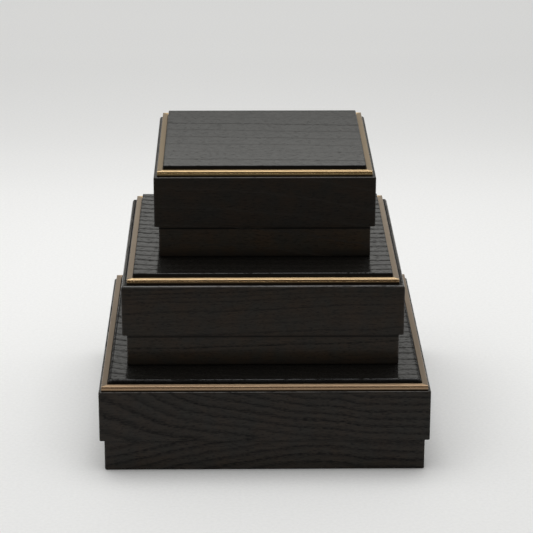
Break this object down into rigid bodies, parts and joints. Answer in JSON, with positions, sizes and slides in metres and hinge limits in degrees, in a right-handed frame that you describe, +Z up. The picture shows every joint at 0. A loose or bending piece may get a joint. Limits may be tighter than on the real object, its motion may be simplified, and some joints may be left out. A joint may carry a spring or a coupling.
{
  "type": "stack of square lidded keepsake boxes",
  "caption": "Pyramid of square black ash boxes with telescoping lift-off lids, raised top panels and stepped brass edging; lids and boxes lift straight up.",
  "frame": {"origin": "on the surface the stack stands on, under the centre of the largest box", "axes": "+Z up; -Y towards the viewer of the picture, the side where the smaller boxes are set back furthest; +X to the right"},
  "size_m": [0.28, 0.28, 0.2436],
  "materials": {
    "black_ash": "black-stained open-pore ash, satin lacquer",
    "brass": "brushed brass strip, softly aged",
    "lining_felt": "charcoal wool felt, glued down"
  },
  "bodies": {
    "large_base": {"large_base_front": "black_ash", "large_base_right": "black_ash", "large_base_back": "black_ash", "large_base_left": "black_ash", "large_base_floor": "black_ash", "large_base_lining": "lining_felt"},
    "large_lid": {"large_lid_front": "black_ash", "large_lid_right": "black_ash", "large_lid_back": "black_ash", "large_lid_left": "black_ash", "large_lid_top": "black_ash", "large_lid_panel": "black_ash", "large_brass_front": "brass", "large_brass_right": "brass", "large_brass_back": "brass", "large_brass_left": "brass"},
    "medium_base": {"medium_base_front": "black_ash", "medium_base_right": "black_ash", "medium_base_back": "black_ash", "medium_base_left": "black_ash", "medium_base_floor": "black_ash", "medium_base_lining": "lining_felt"},
    "medium_lid": {"medium_lid_front": "black_ash", "medium_lid_right": "black_ash", "medium_lid_back": "black_ash", "medium_lid_left": "black_ash", "medium_lid_top": "black_ash", "medium_lid_panel": "black_ash", "medium_brass_front": "brass", "medium_brass_right": "brass", "medium_brass_back": "brass", "medium_brass_left": "brass"},
    "small_base": {"small_base_front": "black_ash", "small_base_right": "black_ash", "small_base_back": "black_ash", "small_base_left": "black_ash", "small_base_floor": "black_ash", "small_base_lining": "lining_felt"},
    "small_lid": {"small_lid_front": "black_ash", "small_lid_right": "black_ash", "small_lid_back": "black_ash", "small_lid_left": "black_ash", "small_lid_top": "black_ash", "small_lid_panel": "black_ash", "small_brass_front": "brass", "small_brass_right": "brass", "small_brass_back": "brass", "small_brass_left": "brass"}
  },
  "joints": [
    {"name": "large_lid_lift", "type": "slide", "parent": "large_base", "child": "large_lid", "axis": [0, 0, 1], "range_m": [0, 0.09]},
    {"name": "medium_box_lift", "type": "slide", "parent": "large_lid", "child": "medium_base", "axis": [0, 0, 1], "range_m": [0, 0.05]},
    {"name": "medium_lid_lift", "type": "slide", "parent": "medium_base", "child": "medium_lid", "axis": [0, 0, 1], "range_m": [0, 0.09]},
    {"name": "small_box_lift", "type": "slide", "parent": "medium_lid", "child": "small_base", "axis": [0, 0, 1], "range_m": [0, 0.05]},
    {"name": "small_lid_lift", "type": "slide", "parent": "small_base", "child": "small_lid", "axis": [0, 0, 1], "range_m": [0, 0.09]}
  ]
}
